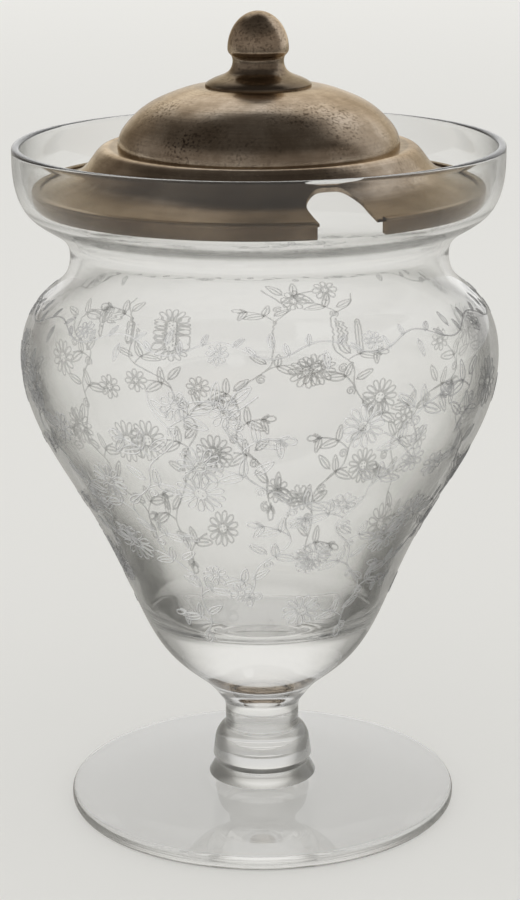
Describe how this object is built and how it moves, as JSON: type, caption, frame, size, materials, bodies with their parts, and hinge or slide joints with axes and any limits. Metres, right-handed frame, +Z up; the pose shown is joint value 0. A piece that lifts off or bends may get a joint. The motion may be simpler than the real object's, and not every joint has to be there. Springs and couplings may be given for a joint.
{
  "type": "marmalade jar",
  "caption": "Stemmed glass preserve jar with a flared gallery rim and a lift-off domed metal lid notched for a spoon.",
  "frame": {"origin": "centre of the foot's underside, at table level", "axes": "+Z up along the axis that the glass is turned on; the lid's spoon notch faces -Y"},
  "size_m": [0.0876, 0.0876, 0.147],
  "materials": {
    "glass": "clear, polished",
    "silver": "tarnished silver, satin with fine scratches"
  },
  "bodies": {
    "jar": {"bowl": "glass", "stem": "glass", "foot": "glass"},
    "lid": {"lid_shell": "silver", "lid_border": "silver", "knob_neck": "silver", "knob_cap": "silver", "knob_rivet": "silver", "knob_washer": "silver"}
  },
  "joints": [
    {"name": "lid_lift", "type": "slide", "parent": "jar", "child": "lid", "axis": [0, 0, 1], "range_m": [0, 0.045]}
  ]
}
